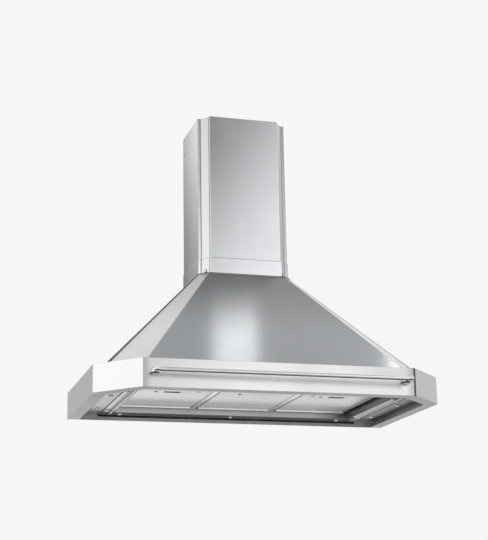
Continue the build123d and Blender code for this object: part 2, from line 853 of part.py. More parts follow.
def outlet_spigot():
    top = throat_top + spigot_height
    tube = upright(0, spigot_y, throat_top, top, spigot_radius)
    tube += upright(0, spigot_y, throat_top, throat_top + spigot_wall, spigot_radius + spigot_flange)
    tube -= upright(0, spigot_y, throat_top, top, spigot_bore)
    stop_top = spindle_z - flap_thickness / 2 - part_gap
    stop = upright(0, spigot_y, stop_top - stop_height, stop_top, spigot_bore)
    stop -= upright(0, spigot_y, stop_top - stop_height, stop_top, spigot_bore - stop_width)
    tube += stop
    return tube - crosswise(-spigot_radius, spigot_radius, spigot_y, spindle_z, spindle_radius)


def damper_spindle():
    half = math.sqrt(spigot_radius ** 2 - spindle_radius ** 2) - 0.1
    return crosswise(-half, half, spigot_y, spindle_z, spindle_radius)


def damper_flap(side, knuckles):
    """Half disc on one side of the spindle, with knuckles round it at the given places."""
    radius = spigot_bore - flap_edge_gap
    low = spindle_z - flap_thickness / 2
    high = spindle_z + flap_thickness / 2
    edges = sorted((spigot_y + side * flap_root, spigot_y + side * radius))
    flap = upright(0, spigot_y, low, high, radius) & block(-radius, radius, edges[0], edges[1], low, high)
    for x in knuckles:
        tab = sorted((spigot_y, spigot_y + side * (flap_root + 1)))
        half = knuckle_length / 2
        flap += block(x - half, x + half, tab[0], tab[1], low, high)
        flap += crosswise(x - half, x + half, spigot_y, spindle_z, knuckle_radius)
    reach = radius - knuckle_clear
    return flap - crosswise(-reach, reach, spigot_y, spindle_z, spindle_radius + running_gap)


# ---- Control box and gland ----
def control_box():
    right = control_left + control_width
    top = control_level + control_height
    front = -sheet - control_depth
    box = block(control_left, right, front, -sheet, control_level, top)
    wall = control_wall
    return box - block(control_left + wall, right - wall, front, -sheet - wall,
                       control_level + wall, top - wall)


def control_cover():
    front = -sheet - control_depth
    right = control_left + control_width
    top = control_level + control_height
    lid = block(control_left, right, front - control_wall, front, control_level, top)
    edges = lid.edges().filter_by(Axis.Y)
    return fillet(edges, 3)


def cable_gland():
    low = canopy_top - gland_nut_height
    high = throat_top + gland_height
    body = upright(gland_x, gland_y, low, high, gland_radius)
    nut = RegularPolygon(gland_nut_radius, 6, major_radius=False)
    place = Pos(gland_x, gland_y)
    body += slab(place * nut, low, canopy_top)
    body += slab(place * nut, throat_top, throat_top + gland_nut_height)
    return body - upright(gland_x, gland_y, low, high, gland_bore)


# ---- Rail ----
def hand_rail():
    reach = rail_half - post_ball_radius + rail_seat - rail_seat_gap
    return crosswise(-reach, reach, -hood_depth - rail_standoff, rail_level, rail_radius)


def rail_post_right():
    axis_y = -hood_depth - rail_standoff
    post = lengthwise(rail_half, axis_y, -hood_depth, rail_level, post_radius)
    post += lengthwise(rail_half, -hood_depth, -hood_depth + stud_length, rail_level, stud_radius)
    ball = Pos(rail_half, axis_y, rail_level) * Sphere(post_ball_radius)
    seat_end = rail_half - post_ball_radius + rail_seat
    ball -= crosswise(rail_half - 2 * post_ball_radius, seat_end, axis_y, rail_level,
                      rail_radius + rail_seat_gap)
    return post + ball


def rail_rosette_right():
    x = rail_half
    centre = -hood_depth - rosette_sink
    ball = Pos(x, centre, rail_level) * Sphere(rosette_radius)
    front = -hood_depth - rosette_sink - rosette_radius
    ball = ball & block(x - rosette_radius, x + rosette_radius, front, -hood_depth,
                        rail_level - rosette_radius, rail_level + rosette_radius)
    return ball - lengthwise(x, front, -hood_depth, rail_level, post_radius)


# ---- All nodes ----
def build():
    nodes = {
        "base_band": base_band(),
        "rear_panel": rear_panel(),
        "canopy_front": canopy_front_sheet(),
        "canopy_side_right": canopy_side_right(),
        "canopy_side_left": mirrored(canopy_side_right()),
        "throat_plate": throat_plate(),
        "collar": collar(),
        "collar_screws": collar_screws(),
        "chimney_shaft": chimney_shaft(),
        "chimney_extension": chimney_extension(),
        "chimney_bracket": chimney_bracket(),
        "chimney_bracket_screws": chimney_bracket_screws(),
        "bottom_pan": bottom_pan(),
        "underside_screws": underside_screws(),
        "lamp_holders": group(lamp_holder(sx, sy) for sx in (-1, 1) for sy in (-1, 1)),
        "filter_rail_front": filter_rail(-well_front, 1),
        "filter_rail_rear": filter_rail(-well_rear, -1),
        "catch_magnets": catch_magnets(),
        "blower_scroll": blower_scroll(),
        "blower_side_right": blower_side_right(),
        "blower_side_left": mirrored(blower_side_right()),
        "impeller": impeller(),
        "motor": motor(),
        "motor_shaft": motor_shaft(),
        "motor_bracket": motor_bracket(),
        "outlet_box": outlet_box(),
        "outlet_spigot": outlet_spigot(),
        "damper_spindle": damper_spindle(),
        "control_box": control_box(),
        "control_cover": control_cover(),
        "cable_gland": cable_gland(),
        "hand_rail": hand_rail(),
        "rail_posts": group((rail_post_right(), mirrored(rail_post_right()))),
        "rail_rosettes": group((rail_rosette_right(), mirrored(rail_rosette_right()))),
    }
    pairs = {
        "side_plate": side_plate_right(),
        "lamp_bezel": lamp_bezel_right(),
        "lamp_lens": lamp_lens_right(),
        "lamp_housing": lamp_housing_right(),
        "lamp_tube": lamp_tube_right(),
    }
    for name, part in pairs.items():
        nodes[name + "_right"] = part
        nodes[name + "_left"] = mirrored(part)
    outer_knuckle = 2 * knuckle_length / 2 + knuckle_clear + knuckle_length / 2
    inner_knuckle = knuckle_clear / 2 + knuckle_length / 2
    nodes["damper_flap_front"] = damper_flap(-1, (-outer_knuckle, outer_knuckle))
    nodes["damper_flap_rear"] = damper_flap(1, (-inner_knuckle, inner_knuckle))
    for i, x in enumerate(bar_middles):
        nodes[f"filter_crossbar_{i + 1}"] = filter_crossbar(x)
    for i, x in enumerate(cassette_middles):
        middle = 2 * i == cassette_count - 1
        nodes[f"filter_plate_{i + 1}"] = filter_plate(x, not middle)
        nodes[f"filter_frame_{i + 1}"] = filter_frame(x)
        nodes[f"filter_mesh_{i + 1}"] = filter_mesh(x)
        nodes[f"filter_pins_{i + 1}"] = filter_pins(i)
    return nodes


for node, part in build().items():
    export_step(part, f"parts/{node}.step")
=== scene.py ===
import json
import math

import bmesh
import bpy
from mathutils import Matrix, Vector


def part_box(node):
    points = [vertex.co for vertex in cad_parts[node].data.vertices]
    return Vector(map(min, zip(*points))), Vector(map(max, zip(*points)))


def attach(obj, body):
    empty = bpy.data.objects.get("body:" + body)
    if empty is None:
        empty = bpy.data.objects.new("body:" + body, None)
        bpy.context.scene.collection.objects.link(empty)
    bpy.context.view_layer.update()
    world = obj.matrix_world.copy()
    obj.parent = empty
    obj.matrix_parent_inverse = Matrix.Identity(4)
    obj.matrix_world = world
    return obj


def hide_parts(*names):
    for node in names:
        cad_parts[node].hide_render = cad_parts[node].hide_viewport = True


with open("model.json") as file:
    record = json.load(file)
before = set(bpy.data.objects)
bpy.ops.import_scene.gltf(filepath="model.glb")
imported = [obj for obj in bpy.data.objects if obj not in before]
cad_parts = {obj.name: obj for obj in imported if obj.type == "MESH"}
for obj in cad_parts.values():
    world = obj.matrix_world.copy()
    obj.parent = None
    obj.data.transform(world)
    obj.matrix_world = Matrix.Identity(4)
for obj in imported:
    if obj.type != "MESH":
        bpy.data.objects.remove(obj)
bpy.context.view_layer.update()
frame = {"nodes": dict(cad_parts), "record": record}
nodes = frame["nodes"]


# ---- Camera, where the photograph was taken from ----
CAMERA_PLACE = (-0.98573, -3.54235, -0.58346)
CAMERA_TURN = (-0.28488, 0.27191, -0.01819)
# The fitted focal length, in heights of the picture, on film this wide in millimetres.
FOCAL_LENGTH = 1333.85 / 540
FILM = 36


def make_camera():
    place = Vector(CAMERA_PLACE)
    yaw, pitch, roll = CAMERA_TURN
    forward = Vector((-math.sin(yaw) * math.cos(pitch), math.cos(yaw) * math.cos(pitch),
                      math.sin(pitch)))
    right = Vector((math.cos(yaw), math.sin(yaw), 0))
    up = right.cross(forward)
    across = right * math.cos(roll) + up * math.sin(roll)
    upward = up * math.cos(roll) - right * math.sin(roll)
    data = bpy.data.cameras.new("camera")
    data.sensor_width = FILM
    data.lens = FOCAL_LENGTH * FILM
    data.clip_start = 0.05
    data.clip_end = 100
    obj = bpy.data.objects.new("camera", data)
    obj.matrix_world = Matrix((
        (across.x, upward.x, -forward.x, place.x),
        (across.y, upward.y, -forward.y, place.y),
        (across.z, upward.z, -forward.z, place.z),
        (0, 0, 0, 1),
    ))
    bpy.context.scene.collection.objects.link(obj)
    bpy.context.scene.camera = obj


make_camera()
scene = bpy.context.scene
scene.view_settings.view_transform = "Standard"


# ---- Node helpers ----
class Tree:
    """Short calls for building a node tree."""

    def __init__(self, tree):
        self.tree = tree
        self.tree.nodes.clear()

    def node(self, kind, **values):
        n = self.tree.nodes.new(kind)
        for key, value in values.items():
            setattr(n, key, value)
        return n

    def link(self, a, b):
        self.tree.links.new(a, b)

    def feed(self, socket, value):
        if isinstance(value, bpy.types.NodeSocket):
            self.link(value, socket)
        else:
            socket.default_value = value

    def math(self, op, a, b=0.0, c=None, clamp=False):
        n = self.node("ShaderNodeMath", operation=op, use_clamp=clamp)
        self.feed(n.inputs[0], a)
        self.feed(n.inputs[1], b)
        if c is not None:
            self.feed(n.inputs[2], c)
        return n.outputs[0]

    def smooth(self, value, low, high, out_low=0.0, out_high=1.0):
        n = self.node("ShaderNodeMapRange", interpolation_type="SMOOTHSTEP")
        self.feed(n.inputs["Value"], value)
        n.inputs["From Min"].default_value = low
        n.inputs["From Max"].default_value = high
        n.inputs["To Min"].default_value = out_low
        n.inputs["To Max"].default_value = out_high
        return n.outputs["Result"]

    def noise(self, vector, scale, detail=2.0, roughness=0.5):
        n = self.node("ShaderNodeTexNoise")
        self.link(vector, n.inputs["Vector"])
        n.inputs["Scale"].default_value = scale
        n.inputs["Detail"].default_value = detail
        n.inputs["Roughness"].default_value = roughness
        return n.outputs["Fac"]

    def coords(self, kind="Object"):
        return self.node("ShaderNodeTexCoord").outputs[kind]

    def split(self, vector):
        n = self.node("ShaderNodeSeparateXYZ")
        self.link(vector, n.inputs[0])
        return n.outputs

    def stretch(self, vector, scales):
        n = self.node("ShaderNodeMapping")
        self.link(vector, n.inputs["Vector"])
        n.inputs["Scale"].default_value = scales
        return n.outputs["Vector"]

    def mix(self, factor, a, b, blend="MIX"):
        n = self.node("ShaderNodeMix", data_type="RGBA", blend_type=blend)
        self.feed(n.inputs[0], factor)
        for socket, value in ((n.inputs[6], a), (n.inputs[7], b)):
            if isinstance(value, bpy.types.NodeSocket):
                self.link(value, socket)
            else:
                socket.default_value = (*value, 1)
        return n.outputs[2]


def new_material(name):
    mat = bpy.data.materials.new(name)
    mat.use_nodes = True
    t = Tree(mat.node_tree)
    out = t.node("ShaderNodeOutputMaterial")
    shader = t.node("ShaderNodeBsdfPrincipled")
    t.link(shader.outputs[0], out.inputs[0])
    return mat, t, shader


def bump(t, height, strength, distance, normal=None):
    n = t.node("ShaderNodeBump")
    t.feed(n.inputs["Height"], height)
    n.inputs["Strength"].default_value = strength
    n.inputs["Distance"].default_value = distance
    if normal is not None:
        t.link(normal, n.inputs["Normal"])
    return n.outputs["Normal"]


# ---- Brushed sheet ----
NEAR_BLACK = (0.02, 0.02, 0.022)
# Noise scales that draw the grain out along one axis.
GRAIN = {
    "x": (5, 700, 700),
    "y": (700, 5, 700),
    "z": (700, 700, 5),
}
# Tangents across that grain.
ACROSS = {
    "x": (0, 0.02, 1),
    "y": (0.02, 0.002, 1),
    "z": (1, 0.02, 0),
}


def painted_shade_by_facing(t, coords, down, sides, ends, centre):
    """Painted shade: darker where the sheet faces down, or faces a centre in (x, y) from a wall of
    a recess.
    """
    nx, ny, nz = t.split(t.coords("Normal"))
    x, y, _ = t.split(coords)
    tone = t.smooth(nz, -0.75, -0.55, down, 1.0)
    across = t.math("MULTIPLY", nx, t.math("SUBTRACT", x, centre[0]))
    along = t.math("MULTIPLY", ny, t.math("SUBTRACT", y, centre[1]))
    tone = t.math("MULTIPLY", tone, t.smooth(across, -0.14, -0.07, sides, 1.0))
    return t.math("MULTIPLY", tone, t.smooth(along, -0.14, -0.07, ends, 1.0))


def worn_and_highlit_edges(t, radius, wear_and_highlight):
    """Softened normal, and a mask of the edges made bright, partly as wear and partly as painted
    highlight.
    """
    bevel = t.node("ShaderNodeBevel", samples=4)
    bevel.inputs["Radius"].default_value = radius
    turn = t.node("ShaderNodeVectorMath", operation="DOT_PRODUCT")
    t.link(bevel.outputs[0], turn.inputs[0])
    t.link(t.node("ShaderNodeNewGeometry").outputs["Normal"], turn.inputs[1])
    return bevel.outputs[0], t.smooth(turn.outputs["Value"], 0.90, 0.995, wear_and_highlight, 0.0)


def level_lines(t, base, z, lines):
    """Dark lines at given heights, each (low, high, depth): painted shadow lines along gaps, edges
    and recesses.
    """
    for low, high, depth in lines:
        half = (high - low) / 2
        off = t.math("ABSOLUTE", t.math("SUBTRACT", z, low + half))
        base = t.mix(t.smooth(off, half * 0.7, half * 1.1, depth, 0.0), base, NEAR_BLACK)
    return base


def upright_painted_light(t, base, x, y, crease_shade_and_bend_highlights):
    """Painted shade in upright creases and painted highlights on bends, each (x, y, radius, depth,
    tone).
    """
    for mark_x, mark_y, radius, depth, tone in crease_shade_and_bend_highlights:
        off = t.math("POWER", t.math("SUBTRACT", x, mark_x), 2.0)
        off = t.math("ADD", off, t.math("POWER", t.math("SUBTRACT", y, mark_y), 2.0))
        off = t.math("SQRT", off)
        mark = t.smooth(off, radius * 0.5, radius * 1.2, depth, 0.0)
        base = t.mix(mark, base, (tone, tone, tone))
    return base


def front_shades(t, base, x, z, shades):
    """Painted shade along X on what faces forward, each (start, end, depth, above which height)."""
    for start, end, depth, above in shades:
        facing = t.split(t.coords("Normal"))
        front = t.smooth(facing[1], -0.98, -0.9, 1.0, 0.0)
        forward_shade = t.math("MULTIPLY", t.smooth(x, start, end, 0.0, depth), front)
        forward_shade = t.math("MULTIPLY", forward_shade, t.smooth(z, above, above + 0.006))
        base = t.mix(forward_shade, base, NEAR_BLACK)
    return base


def brushed(name, colour, roughness, grain, anisotropy, wear_and_highlight=0.5, edge=0.0009,
            down=1.0, sides=1.0, ends=1.0, centre=(0, -0.25),
            painted_light_towards_wall=None, rear=None, rise=None, lines=(), crease_shade_and_bend_highlights=(), shades=()):
    """Brushed stainless sheet: grain lines, faint rolling waves, finger smudges, bright edges (wear
    and painted highlight).

    edge is the radius of those bright edges, and the argument before it their brightness. down,
    sides and ends are painted shade on faces that face down or inwards. The colour after centre is
    painted light towards the wall, rear a painted shade there, and rise a painted shade between two
    heights, (low, high, depth).
    """
    mat, t, shader = new_material(name)
    coords = t.coords()
    x, y, z = t.split(coords)
    fine = t.noise(t.stretch(coords, GRAIN[grain]), 1.0, 2.0, 0.6)
    coarse = t.noise(t.stretch(coords, [v * 0.22 for v in GRAIN[grain]]), 1.0, 2.0, 0.5)
    cloud = t.noise(coords, 7.0, 3.0, 0.5)
    waves = t.noise(coords, 2.6, 1.0, 0.4)
    strokes = t.math("MULTIPLY_ADD", fine, 0.6, t.math("MULTIPLY", coarse, 0.4))
    base = t.mix(t.smooth(strokes, 0.30, 0.70),
                 [c * 0.965 for c in colour], [min(1, c * 1.03) for c in colour])
    # Painted shade where the sheet faces down or into a recess.
    if min(down, sides, ends) < 1:
        grey = t.node("ShaderNodeCombineColor")
        shade = painted_shade_by_facing(t, coords, down, sides, ends, centre)
        for socket in grey.inputs[:3]:
            t.link(shade, socket)
        base = t.mix(1.0, base, grey.outputs[0], "MULTIPLY")
    softened, worn_and_highlit = worn_and_highlit_edges(t, edge, wear_and_highlight)
    # Bright edges: partly wear, partly painted highlight on folds and bends.
    base = t.mix(worn_and_highlit, base, [min(1, c * 1.3) for c in colour])
    # Painted light: the colour turns paler towards the wall.
    if painted_light_towards_wall:
        base = t.mix(t.smooth(y, -0.36, -0.16), base, painted_light_towards_wall)
    # Painted shade, darker between two heights.
    if rise:
        low, high, depth = rise
        base = t.mix(t.smooth(z, low, high, 0.0, depth), base, [c * 0.3 for c in colour])
    # Painted shade, darker towards the wall.
    if rear:
        base = t.mix(t.smooth(y, -0.17, 0.01, 0.0, rear), base, [c * 0.4 for c in colour])
    # Painted shadow lines.
    base = level_lines(t, base, z, lines)
    # Painted shade and painted highlights at upright corners.
    base = upright_painted_light(t, base, x, y, crease_shade_and_bend_highlights)
    # Painted shade along X on forward faces.
    base = front_shades(t, base, x, z, shades)
    t.link(base, shader.inputs["Base Color"])
    rough = t.math("MULTIPLY_ADD", t.smooth(cloud, 0.45, 0.75), 0.025, roughness)
    rough = t.math("MULTIPLY_ADD", strokes, 0.03, rough)
    t.link(rough, shader.inputs["Roughness"])
    shader.inputs["Metallic"].default_value = 1.0
    shader.inputs["Anisotropic"].default_value = anisotropy
    tangent = t.node("ShaderNodeCombineXYZ")
    for socket, value in zip(tangent.inputs, ACROSS[grain]):
        socket.default_value = value
    t.link(tangent.outputs[0], shader.inputs["Tangent"])
    normal = bump(t, waves, 0.2, 0.002, softened)
    normal = bump(t, strokes, 0.02, 0.0001, normal)
    t.link(normal, shader.inputs["Normal"])
    return mat


def polished(name, colour, roughness, painted_dark_band=False):
    """Chrome with fine hairlines and a trace of dulling, and a painted dark reflection on the band
    of it that faces partly down.
    """
    mat, t, shader = new_material(name)
    coords = t.coords()
    hair = t.noise(t.stretch(coords, (700, 90, 700)), 1.0, 2.0, 0.5)
    cloud = t.noise(coords, 60.0, 2.0, 0.5)
    base = t.mix(t.smooth(cloud, 0.4, 0.7), colour, [c * 0.9 for c in colour])
    # Painted dark reflection on the band that faces partly down.
    if painted_dark_band:
        facing = t.split(t.coords("Normal"))
        off = t.math("ABSOLUTE", t.math("ADD", facing[2], 0.38))
        base = t.mix(t.smooth(off, 0.10, 0.26, 0.94, 0.0), base, (0.01, 0.01, 0.012))
    t.link(base, shader.inputs["Base Color"])
    rough = t.math("MULTIPLY_ADD", t.smooth(cloud, 0.45, 0.75), 0.08, roughness)
    t.link(rough, shader.inputs["Roughness"])
    shader.inputs["Metallic"].default_value = 1.0
    t.link(bump(t, hair, 0.05, 0.0001), shader.inputs["Normal"])
    return mat


def galvanised(name, colour, roughness):
    """Zinc-coated sheet with its spangle."""
    mat, t, shader = new_material(name)
    coords = t.coords()
    cells = t.node("ShaderNodeTexVoronoi", feature="F1")
    t.link(coords, cells.inputs["Vector"])
    cells.inputs["Scale"].default_value = 95.0
    shade = t.node("ShaderNodeSeparateColor")
    t.link(cells.outputs["Color"], shade.inputs[0])
    tone = shade.outputs[0]
    base = t.mix(tone, [c * 0.86 for c in colour], [min(1, c * 1.12) for c in colour])
    dull = t.noise(coords, 14.0, 3.0, 0.6)
    base = t.mix(t.smooth(dull, 0.5, 0.75, 0, 0.35), base, [c * 0.8 for c in colour])
    t.link(base, shader.inputs["Base Color"])
    t.link(t.math("MULTIPLY_ADD", tone, 0.14, roughness), shader.inputs["Roughness"])
    shader.inputs["Metallic"].default_value = 0.9
    t.link(bump(t, t.noise(coords, 420.0, 2.0), 0.12, 0.0002), shader.inputs["Normal"])
    return mat


def satin_aluminium(name, colour, roughness):
    """Satin aluminium with a fine even grain and a trace of dulling."""
    mat, t, shader = new_material(name)
    coords = t.coords()
    grain = t.noise(coords, 520.0, 3.0, 0.6)
    cloud = t.noise(coords, 18.0, 3.0, 0.5)
    base = t.mix(t.smooth(cloud, 0.4, 0.7), colour, [c * 0.86 for c in colour])
    t.link(base, shader.inputs["Base Color"])
    t.link(t.math("MULTIPLY_ADD", grain, 0.14, roughness), shader.inputs["Roughness"])
    shader.inputs["Metallic"].default_value = 1.0
    t.link(bump(t, grain, 0.2, 0.0002), shader.inputs["Normal"])
    return mat


def plastic(name, colour, roughness, grain_scale=900.0):
    """Moulded plastic with a fine eroded grain and dust in patches."""
    mat, t, shader = new_material(name)
    coords = t.coords()
    grain = t.noise(coords, grain_scale, 2.0, 0.6)
    cloud = t.noise(coords, 22.0, 3.0, 0.6)
    dust = [min(1, c + 0.05) for c in colour]
    base = t.mix(t.smooth(cloud, 0.45, 0.75), colour, dust)
    t.link(base, shader.inputs["Base Color"])
    t.link(t.math("MULTIPLY_ADD", grain, 0.2, roughness), shader.inputs["Roughness"])
    t.link(bump(t, grain, 0.3, 0.0002), shader.inputs["Normal"])
    return mat


# Ribs across the lens, and how far its middle lies from the wall.
RIB_PITCH = 0.012
RIB_MIDDLE = 0.2335


def lamp_plastic(name):
    """Frosted ribbed cover that lets the light through, with painted shade in the grooves between
    its ribs.
    """
    mat, t, shader = new_material(name)
    coords = t.coords()
    frost = t.noise(coords, 700.0, 2.0, 0.5)
    cloud = t.noise(coords, 30.0, 2.0, 0.5)
    base = t.mix(t.smooth(cloud, 0.4, 0.7), (0.99, 1.0, 1.0), (0.95, 0.97, 0.97))
    y = t.split(coords)[1]
    # Painted shade in the grooves between the ribs.
    phase = t.math("FRACT", t.math("DIVIDE", t.math("ADD", y, RIB_MIDDLE), RIB_PITCH))
    groove_shade = t.smooth(t.math("ABSOLUTE", t.math("SUBTRACT", phase, 0.5)), 0.30, 0.36, 0.0, 0.4)
    base = t.mix(groove_shade, base, (0.30, 0.31, 0.32))
    t.link(base, shader.inputs["Base Color"])
    t.link(t.math("MULTIPLY_ADD", frost, 0.18, 0.16), shader.inputs["Roughness"])
    shader.inputs["Transmission Weight"].default_value = 0.06
    shader.inputs["IOR"].default_value = 1.49
    t.link(bump(t, frost, 0.2, 0.0002), shader.inputs["Normal"])
    return mat


STEEL = (0.642, 0.654, 0.666)
PANEL = (0.658, 0.666, 0.674)
COLLAR_OUT = 0.0015


def notch(out):
    """Painted shade in the creases and painted highlights on the bends at the chimney's front
    corners, a little out for the collar.
    """
    marks = []
    for side, outer, inner, front in ((-1, 0.60, 0.40, 0.9), (1, 0.22, 0.60, 0.35)):
        marks += [
            (side * (0.118 + out), -0.170 - out, 0.0023, outer, 0.05),
            (side * (0.099 + out), -0.189 - out, 0.0016, inner, 0.05),
            (side * (0.099 + out), -0.197 - out, 0.0020, front, 0.98),
        ]
    # A painted highlight down the left corner and painted shade down the right one.
    marks.append((-0.1225 - out, -0.170 - out, 0.0036, 1.0, 0.99))
    marks.append((0.1225 + out, -0.170 - out, 0.0050, 0.5, 0.20))
    return marks


EVERYWHERE = -1
# Painted shade on the band's front: darker towards the right, over its upper right, near both
# corners, and a dark line down the right corner.
band_shades = [
    (0.00, 0.07, 0.08, EVERYWHERE),
    (0.14, 0.28, 0.13, 0.040),
    (0.316, 0.346, 0.40, EVERYWHERE),
    (0.3415, 0.3440, 0.86, EVERYWHERE),
    (-0.326, -0.346, 0.30, EVERYWHERE),
]
# The chimney's rear is painted shade towards the wall.
chimney = {"grain": "z", "anisotropy": 0.2, "rear": 0.85, "edge": 0.0024}
# The covers' sides and ends are painted shade on their recess walls.
cover = {"grain": "y", "anisotropy": 0.45, "wear_and_highlight": 0.15, "sides": 0.36, "ends": 0.6}

mats = {
    "steel_x": brushed("steel_across", STEEL, 0.24, "x", 0.55),
    # Painted shade where the band faces down and inwards, and a painted dark line along its bottom
    # edge.
    "band": brushed("steel_band", (0.750, 0.757, 0.764), 0.24, "x", 0.7, edge=0.0015,
                    down=0.50, sides=0.55, ends=0.45,
                    lines=[(-0.002, 0.0014, 0.30)], shades=band_shades),
    # Painted shade on inner faces, a painted shadow line above the collar, and painted shade and
    # highlights at the corners; the collar has the corners only.
    "steel_z": brushed("steel_upright", STEEL, 0.14, **chimney, sides=0.75, ends=0.75,
                       centre=(0, -0.05), lines=[(0.4186, 0.4202, 0.35)], crease_shade_and_bend_highlights=notch(0)),
    "collar": brushed("steel_collar", STEEL, 0.14, **chimney, crease_shade_and_bend_highlights=notch(COLLAR_OUT)),
    # Shaded copy of the steel: painted shade on the canopy's side slopes.
    "shaded_side_slope": brushed("steel_shaded_side_slope", [c * 0.7 for c in STEEL], 0.26, "y", 0.5),
    "steel_y": brushed("steel_lengthwise", PANEL, 0.28, "y", 0.45),
    # Lit and shaded copies of one cover sheet: painted shade where it faces down, strongest on the
    # right side plate, and a painted shade line inside the left bezel.
    "cover": brushed("steel_cover", PANEL, 0.28, **cover, down=0.78,
                     lines=[(0.0085, 0.0140, 0.32)]),
    "cover_painted_dim": brushed("steel_cover_painted_dim", PANEL, 0.28, **cover, down=0.46),
    "cover_painted_dark": brushed("steel_cover_painted_dark", PANEL, 0.28, **cover, down=0.18),
    # Painted shade on the pan where it faces down, on its recess walls, between two heights and
    # towards the right.
    "pan": brushed("steel_pan", PANEL, 0.32, "x", 0.45, wear_and_highlight=0.15, down=0.55, sides=0.33,
                   rise=(0.020, 0.031, 0.4), shades=[(0.22, 0.33, 0.5, EVERYWHERE)]),
    # Painted light: the cover plates are dark at the front and painted bright towards the wall.
    "plate": brushed("steel_plate", (0.56, 0.566, 0.572), 0.24, "x", 0.45,
                     painted_light_towards_wall=(0.99, 0.99, 0.99)),
    # Painted highlights on the folds, painted shade darker towards the top, and a painted shadow
    # line under the collar.
    "slope": brushed("steel_slope", STEEL, 0.20, "x", 0.8, wear_and_highlight=0.8, edge=0.004,
                     rise=(0.15, 0.372, 0.48), lines=[(0.3690, 0.374, 0.6)]),
    # Painted shade on the rail's underside.
    "rail": brushed("rail_steel", (0.74, 0.747, 0.754), 0.14, "x", 0.2, down=0.20),
    # Painted shade on the crossbars' faces that face the middle.
    "bar": brushed("steel_bar", (0.86, 0.87, 0.88), 0.28, "y", 0.45,
                   wear_and_highlight=0.15, sides=0.6, ends=0.6),
    # Steel darkened as painted shade along a ridge.
    "shaded_seam": brushed("steel_shaded_seam", [c * 0.30 for c in STEEL], 0.34, "y", 0.2),
    "cup_chrome": polished("cup_chrome", (0.98, 0.98, 0.98), 0.12),
    "chrome": polished("bright_chrome", (0.80, 0.80, 0.81), 0.06),
    "post_chrome": polished("post_chrome", (0.86, 0.86, 0.87), 0.06, painted_dark_band=True),
    "zinc": galvanised("zinc_sheet", (0.50, 0.515, 0.53), 0.42),
    "alu": satin_aluminium("satin_aluminium", (0.62, 0.63, 0.64), 0.34),
    "black": plastic("black_plastic", (0.035, 0.035, 0.038), 0.42),
    "white": plastic("white_plastic", (0.78, 0.78, 0.75), 0.38),
    "paint": plastic("motor_enamel", (0.10, 0.105, 0.11), 0.35, 300.0),
    "magnet": plastic("ferrite", (0.05, 0.05, 0.052), 0.55, 1400.0),
    # Black foam, also used for dark pieces that stand for shade.
    "foam_and_shade": plastic("black_foam_and_shade", (0.018, 0.018, 0.019), 0.8, 1100.0),
    "lens": lamp_plastic("frosted_lens"),
}

# Nodes that look different from their slot's usual material.
looks = {
    "base_band": "band",
    "canopy_front": "slope",
    "canopy_side_left": "shaded_side_slope",
    "canopy_side_right": "shaded_side_slope",
    "collar": "collar",
    "chimney_shaft": "steel_z",
    "chimney_extension": "steel_z",
    "hand_rail": "rail",
    "bottom_pan": "pan",
    "side_plate_left": "cover_painted_dim",
    "side_plate_right": "cover_painted_dark",
    "lamp_bezel_left": "cover",
    "lamp_bezel_right": "cover_painted_dim",
    "filter_crossbar_1": "bar",
    "filter_crossbar_2": "bar",
    "rail_posts": "post_chrome",
    "rail_rosettes": "post_chrome",
    "filter_rail_front": "pan",
    "filter_rail_rear": "pan",
    "filter_plate_1": "plate",
    "filter_plate_2": "plate",
    "filter_plate_3": "plate",
}
slot_looks = {
    "stainless": "steel_x",
    "stainless_panel": "steel_x",
    "galvanised": "zinc",
    "aluminium": "alu",
    "bright": "chrome",
    "dark_plastic": "black",
    "white_plastic": "white",
    "lens": "lens",
    "motor_paint": "paint",
    "magnet": "magnet",
}
slots = {s["node"]: s["material_slot"] for s in frame["record"]["subparts"]}
for name, obj in nodes.items():
    mat = mats[looks.get(name, slot_looks[slots[name]])]
    if not obj.data.materials:
        obj.data.materials.append(mat)
    for i in range(len(obj.material_slots)):
        obj.material_slots[i].material = mat


# ---- Pieces ----
# Heights of the undersides of the side covers, the pan's wall side and the cassettes' plates.
COVER_FACE = 0.015
PAN_FACE = 0.0162
PLATE_FACE = 0.0335
# A ring's hole round a screw's head, and the thickness of a flat ring.
SCREW_RADIUS = 0.0041
FLAT_RING = 0.0003


def piece(name, bm, material, body, smooth=False):
    """Turn a bmesh into an object that rides on a body."""
    mesh = bpy.data.meshes.new(name)
    bmesh.ops.recalc_face_normals(bm, faces=bm.faces)
    if smooth:
        for face in bm.faces:
            face.smooth = True
    bm.to_mesh(mesh)
    bm.free()
    mesh.materials.append(mats[material])
    obj = bpy.data.objects.new(name, mesh)
    scene.collection.objects.link(obj)
    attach(obj, body)
    return obj


def sweep(bm, outline, start, end, along="x"):
    """Solid bar along X or Y; its closed outline has (y, z) or (x, z) points."""
    rings = []
    for length in (start, end):
        if along == "x":
            rings.append([bm.verts.new((length, y, z)) for y, z in outline])
        else:
            rings.append([bm.verts.new((x, length, z)) for x, z in outline])
    count = len(outline)
    for i in range(count):
        j = (i + 1) % count
        bm.faces.new((rings[0][i], rings[0][j], rings[1][j], rings[1][i]))
    bm.faces.new(rings[0])
    bm.faces.new(list(reversed(rings[1])))


